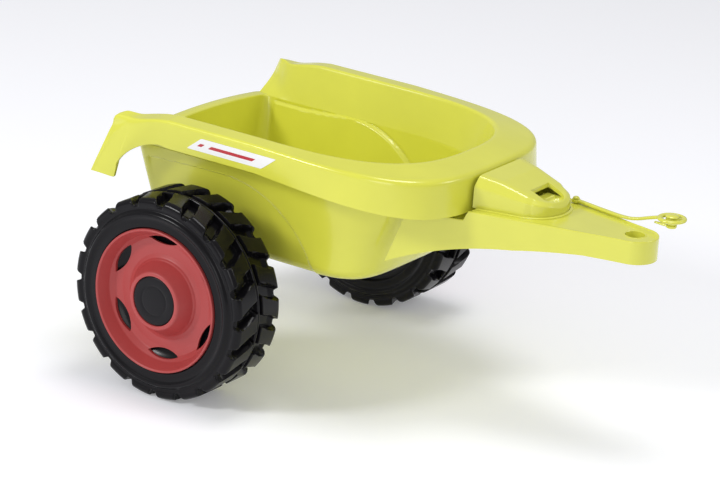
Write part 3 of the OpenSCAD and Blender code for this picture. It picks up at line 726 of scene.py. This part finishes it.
step.grid([np.column_stack([lerp(wide, close, w), np.full(len(wide), z)])
           for w, z in ((0, 228.2), (0, 229.5), (0.3, 230.0), (1, 230.0), (1, 228.2))],
          closed_rows=True, caps=True)
piece("lock_cover_step", step.mesh("lock_cover_step"), LIME_DRAWBAR, "trailer")

# ------------------------------------------------------------------ strap and pin
RIVET_X, RIVET_Y = 330.0, 41.2
EYE_X, EYE_Y = 443.0, 38.0
STRAP_Z = DECK_Z + 2.1
STRAP_HALF, STRAP_DEEP = 2.5, 1.5       # half the strap's width and thickness

# From the rivet along the deck's left edge to the eye, z from the strap's middle
route = np.array([[331, 41.1, 0], [336, 41, 0], [352, 37.5, 0], [370, 34, 0], [388, 31, 0], [400, 30, 0.6],
                  [410, 30.5, 2.6], [420, 33, 5.6], [430, 36, 8.0]], float)
at = np.linspace(0, len(route) - 1, steps(90))
line = averaged(np.stack([np.interp(at, np.arange(len(route)), route[:, k]) for k in range(3)], 1), 9)
line[:, 2] += STRAP_Z
tangent = np.gradient(line, axis=0)
tangent /= np.linalg.norm(tangent, axis=1)[:, None]
sideways = np.stack([-tangent[:, 1], tangent[:, 0], np.zeros(len(line))], 1)
sideways /= np.linalg.norm(sideways, axis=1)[:, None]
upward = np.cross(tangent, sideways)
section = []
for a in np.radians(np.arange(16) * 22.5):
    across_strap = np.sign(math.cos(a)) * abs(math.cos(a)) ** 0.6 * STRAP_HALF
    up_strap = np.sign(math.sin(a)) * abs(math.sin(a)) ** 0.6 * STRAP_DEEP
    section.append(line + sideways * across_strap + upward * up_strap)
strap = Shape()
strap.grid(section, closed_rows=True, caps=True)
low, high = STRAP_Z - STRAP_DEEP, STRAP_Z + STRAP_DEEP
strap.grid(lathe_rows([(2.3, low), (4.2, low), (4.6, STRAP_Z), (4.2, high), (2.3, high)], RIVET_X, RIVET_Y),
           closed_rows=True, closed_cols=True)
strap.grid(lathe_rows([(9.8, 238.6), (13.6, 238.4), (14.8, 239.2), (15, 240.2), (14.4, 241.4), (13, 241.9),
                       (10.6, 241.7), (9.6, 240.6)], EYE_X, EYE_Y, 64), closed_rows=True, closed_cols=True)
strap.grid(lathe_rows([(4.05, 238.8), (6.2, 238.8), (6.6, 240), (6.2, 241.3), (4.05, 241.3)],
                      EYE_X, EYE_Y, 48), closed_rows=True, closed_cols=True)
for a in np.radians([35, 155, 275]):      # spokes of the eye
    c, s = math.cos(a), math.sin(a)
    rows = [[[EYE_X + c * r - s * w, EYE_Y + s * r + c * w, z] for r in (5.8, 8, 10.4)]
            for w, z in ((-1.6, 239), (1.6, 239), (1.6, 241), (-1.6, 241))]
    strap.grid(rows, closed_rows=True, caps=True)
piece("hitch_strap_moulding", strap.mesh("hitch_strap_moulding", sharp=50), LIME_DRAWBAR, "strap",
      ["hitch_strap"])

pin = Shape()
pin.grid(lathe_rows([(0.3, 244.2), (4, 244.0), (6.2, 243.4), (7, 242.6), (6.6, 241.95), (3.9, 241.9),
                     (3.9, 237.9), (7.4, 237.7), (8, 236.8), (7.4, 235.8), (4.2, 235.4), (4, 233.6),
                     (5.4, 233.3), (5.6, 232.2), (5, 230.9), (0.3, 230.6)], EYE_X, EYE_Y, 48),
         closed_cols=True, caps=True)
arm = [[[EYE_X - 3 - 16 * out, EYE_Y + 2.2 * math.cos(a) * size, 232 + 1.5 * math.sin(a) * size]
        for out, size in ((0, 1), (0.5, 1), (0.96, 0.7), (1, 0.7))] for a in np.radians(np.arange(12) * 30)]
pin.grid(arm, closed_rows=True, caps=True)
piece("hitch_pin_moulding", pin.mesh("hitch_pin_moulding", sharp=50), LIME_DRAWBAR, "pin",
      ["hitch_pin"])

rivet = Shape()
rivet.grid(lathe_rows([(0.3, 235.4), (2.2, 235.1), (3.2, 234.4), (3.4, 233.6), (3.1, 233.1), (1.95, 233),
                       (1.95, 225.9), (3, 225.8), (2.7, 224.2), (0.3, 224)], RIVET_X, RIVET_Y, 40),
           closed_cols=True, caps=True)
piece("strap_rivet_moulding", rivet.mesh("strap_rivet_moulding", sharp=50), LIME_DRAWBAR, "trailer",
      ["strap_rivet"])

# ------------------------------------------------------------------ wheels
# Wheel profiles are (radius, distance outward from the wheel's middle)
WHEEL_Y = 185.0
LUGS, LUG_TOP = 20, 107.0
LUG_LEAN = 13.0          # how far round the tread a lug leans between shoulder and seam
PITCH = 360 / LUGS
TURNS = LUGS * max(10, int(32 / COARSE))
SLOTS, SLOT_R, SLOT_HALF, SLOT_BOW, SLOT_PHASE = 6, 61.0, 19.5, 5.0, 32

tyre_wall = [(76.5, 26), (76.5, 36.0), (77.6, 36.9), (80, 36.6), (84, 36.3), (86.4, 36.7), (88, 37.6),
             (89.6, 38.0), (91.4, 37.7), (93, 36.2), (94.4, 34.6), (96.4, 34.2), (97.6, 34.4)]
crown = [(98.6, 34.8), (100.6, 35.1), (102.4, 34.9), (104.0, 34.3), (105.3, 33.4), (106.2, 32.2),
         (106.7, 31.0)]
seam_and_lining = [(98.6, 2.0), (103.4, 1.8), (105.0, 1.4), (105.5, 0.7), (105.5, 0.0), (94, 0.0), (94, 29),
                   (88, 33.4), (82, 30.6), (78, 28)]
rim_front = softened([(76, 35), (76, 38.6), (75, 39.2), (73.6, 38.5), (71.5, 34), (67.8, 26.1),
                      (62.5, 20.7), (56, 19.1), (46, 19.5), (41.5, 21.3), (40.2, 22.9), (39.2, 23.7),
                      (33.2, 33.9), (31.4, 37.1), (30.2, 38.6), (28.2, 39), (26.4, 38.4),
                      (26.3, 34)], steps(120), 1.2).tolist()
rim_back = [(30, 33.5), (39, 20), (45.5, 17.4), (56.5, 16.8), (63.5, 18.2), (69.5, 25), (74, 35)]
cap_profile = [(0.2, 38.5), (13.6, 38.5), (14.2, 38.4), (14.8, 38), (15.6, 37.95), (16.4, 38), (17, 38.4),
               (17.6, 38.5), (24.2, 38.5), (25.3, 38.2), (25.9, 37.3), (26, 33), (24, 33), (24, 35.8),
               (0.2, 36)]


def lug_share(arc, w):
    """1 on a lug and 0 on the floor of the gap between two lugs, which is rounded at the shoulder."""
    reach, start = 37.5, 22.0
    width = np.where(w > start, 7.2 * np.sqrt(np.clip(1 - ((w - start) / (reach - start)) ** 2, 0, 1)),
                     lerp(7.2, 5.8, clamp01((start - w) / start)))
    return 1 - smooth((width - np.abs(arc)) / 3.0 + 0.45)


def lean(w):
    """Degrees by which the lugs and the grid's columns lean over together."""
    return LUG_LEAN * float(clamp01((32 - w) / 30)) / LUG_TOP * 180 / math.pi


def tyre_half(phase):
    """Rings of one half of a tyre, from its bead over the tread to the seam and back inside."""
    j = np.arange(TURNS)
    arc = ((j * PITCH * LUGS / TURNS + PITCH / 2) % PITCH - PITCH / 2) * math.pi / 180 * LUG_TOP
    rings = [(np.full(TURNS, r), np.full(TURNS, w), 0.0) for r, w in softened(tyre_wall, steps(52), 1.6)]
    for k, (r1, w1) in enumerate(crown):
        lug = lug_share(arc, w1)
        r0, w0 = lerp(98.2, 100.6, k / 6), lerp(34.5, 31.4, k / 6)
        rings.append((lerp(r0, r1, lug), lerp(w0, w1, lug), 0.0))
    for w in np.linspace(30.0, 2.4, steps(46)):
        lug = lug_share(arc, w) * float(smooth((w - 2.4) / 2.0))
        base = 98.0 + 2.6 * float(smooth((w - 24) / 7))
        rings.append((lerp(base, LUG_TOP, lug), np.full(TURNS, w), lean(w)))
    rings += [(np.full(TURNS, r), np.full(TURNS, w), lean(0)) for r, w in seam_and_lining]
    shape = []
    for r, w, turn in rings:
        a = np.radians(j * 360 / TURNS + turn + phase)
        shape.append(np.stack([r * np.cos(a), w, r * np.sin(a)], 1))
    return np.asarray(shape)


def wheel_points(rows, side):
    """Rows of (x, w, z) about the wheel's middle, w outward, to points in place."""
    rows = np.asarray(rows, float).copy()
    rows[:, :, 1] = side * (WHEEL_Y + rows[:, :, 1])
    rows[:, :, 2] += AXLE_Z
    return rows


def spun(profile, count=192):
    a = np.radians(np.arange(count) * 360 / count)
    return np.array([np.stack([r * np.cos(a), np.full(count, w), r * np.sin(a)], 1) for r, w in profile])


def lens(angle, side):
    """The prism of one lens-shaped slot at an angle round the rim."""
    radius = (SLOT_HALF ** 2 + SLOT_BOW ** 2) / (2 * SLOT_BOW)
    reach = math.asin(SLOT_HALF / radius)
    outline = []
    for k in (1, -1):
        for t in np.linspace(-reach, reach, 25)[:-1] * k:
            outline.append((SLOT_R + k * (radius * math.cos(t) - radius + SLOT_BOW), radius * math.sin(t)))
    ca, sa = math.cos(angle), math.sin(angle)
    rows = [[[px * ca - py * sa, w, px * sa + py * ca] for px, py in outline] for w in (8, 34)]
    s = Shape()
    s.grid(wheel_points(rows, side), closed_cols=True, caps=True)
    return s.mesh("lens")


# The two halves of a tyre: tread, side discs and the way they face
dished_seat = [(77, 30), (77, 32.8), (75.4, 32.8), (69.5, 22), (62, 15), (14, 15), (14, 12), (63, 12),
               (72.5, 22)]
outer_tube = [(9, 0.4), (14, 0.4), (14, 18), (9, 18)]
plain_disc = [(14, 29), (77, 29.5), (77, 31.7), (72, 32.1), (70, 30.9), (40, 30.7), (37, 32.3), (16, 32.5),
              (14, 31.9)]
inner_tube = [(9, 0.4), (14, 0.4), (14, 32.3), (13, 32.9), (9, 32.9)]
halves = {"outer": (tyre_half(0.0), (dished_seat, outer_tube), [1, 1, 1]),
          "inner": (tyre_half(PITCH / 2), (plain_disc, inner_tube), [1, -1, 1])}

for side, tag in SIDES:
    body = f"wheel_{tag}"
    turn = -side             # the lugs lean the same way seen from outside
    for half, (tread, discs, facing) in halves.items():
        s = Shape()
        s.grid(wheel_points(tread * [1, 1, turn] * facing, side), closed_rows=True, closed_cols=True)
        for disc in discs:
            s.grid(wheel_points(spun(disc) * facing, side), closed_rows=True, closed_cols=True)
        piece(f"tyre_{half}_shell_{tag}", s.mesh(f"tyre_{half}_{tag}", sharp=48), TYRE, body,
              [f"tyre_{half}_{tag}"])
    s = Shape()
    s.grid(wheel_points(spun(rim_front + rim_back), side), closed_rows=True, closed_cols=True)
    angles = [math.radians(SLOT_PHASE + i * 360 / SLOTS) * turn for i in range(SLOTS)]
    rim = cut(s.mesh(f"rim_{tag}"), [lens(angle, side) for angle in angles], sharp=38)
    piece(f"rim_dish_{tag}", rim, RED, body, [f"rim_{tag}"])
    s = Shape()
    s.grid(wheel_points(spun(cap_profile), side), closed_cols=True, caps=True)
    piece(f"hub_cap_disc_{tag}", s.mesh(f"hub_cap_{tag}", sharp=50), CAP, body,
          [f"hub_cap_{tag}"])

# ------------------------------------------------------------------ CAD nodes that keep their shape
kept = {
    "axle": STEEL, "axle_nuts": STEEL, "carrier_screws": STEEL, "drawbar_screws": STEEL,
    "axle_spacers": CAP, "axle_carrier": LIME,
    "bearing_bush_left": NATURAL, "bearing_bush_right": NATURAL,
    "rim_bush_left": NATURAL, "rim_bush_right": NATURAL,
}
for name, material in kept.items():
    mesh = frame["nodes"][name].data
    mesh.materials.clear()
    mesh.materials.append(material)

# ------------------------------------------------------------------ floor, light and camera
FLOOR_HALF = 9.0
scene = bpy.context.scene
scene.view_settings.view_transform = "Standard"
bm = bmesh.new()
bmesh.ops.create_grid(bm, x_segments=8, y_segments=8, size=FLOOR_HALF)
floor_mesh = bpy.data.meshes.new("floor")
bm.to_mesh(floor_mesh)
bm.free()
floor = bpy.data.objects.new("floor", floor_mesh)
scene.collection.objects.link(floor)
floor_mat, _, floor_bsdf = node_material("studio_floor")
floor_bsdf.inputs["Base Color"].default_value = (0.90, 0.905, 0.95, 1)
floor_bsdf.inputs["Roughness"].default_value = 0.75
floor_bsdf.inputs["Specular IOR Level"].default_value = 0.1
floor_bsdf.inputs["Emission Color"].default_value = (1.0, 1.0, 1.0, 1)
floor_bsdf.inputs["Emission Strength"].default_value = 0.17
floor_mesh.materials.append(floor_mat)

world = bpy.data.worlds.new("studio")
world.use_nodes = True
world.node_tree.nodes["Background"].inputs["Color"].default_value = (1.0, 1.0, 1.0, 1)
world.node_tree.nodes["Background"].inputs["Strength"].default_value = 0.46
scene.world = world


def softbox(name, place, target, size, power):
    """A square area light in metres and watts, aimed at the target."""
    light = bpy.data.lights.new(name, "AREA")
    light.shape = "RECTANGLE"
    light.size, light.size_y = size, size
    light.energy = power
    o = bpy.data.objects.new(name, light)
    o.location = place
    o.rotation_euler = (Vector(target) - Vector(place)).to_track_quat("-Z", "Y").to_euler()
    scene.collection.objects.link(o)


softbox("key", (-1.5, -2.5, 1.9), (0, 0, 0.12), 0.6, 40)
softbox("front_fill", (0.9, -3.0, 0.9), (0, 0, 0.12), 1.2, 16)
softbox("side", (2.4, 1.2, 1.9), (0, 0, 0.15), 0.9, 12)
softbox("overhead", (0.1, 0.1, 2.4), (0, 0, 0.1), 0.8, 17)

cam_data = bpy.data.cameras.new("camera")
cam_data.lens, cam_data.sensor_width = 160.0, 36.0
cam_data.clip_start, cam_data.clip_end = 0.05, 60.0
camera = bpy.data.objects.new("camera", cam_data)
# The camera's right and up directions and its place, in metres
right = Vector((0.816183, 0.574968, 0.057073))
up = Vector((-0.238521, 0.245315, 0.939643))
back = right.cross(up)
pose = Matrix((right, up, back)).transposed().to_4x4()
pose.translation = Vector((1.71032, -2.62373, 1.27382))
camera.matrix_world = pose
scene.collection.objects.link(camera)
scene.camera = camera
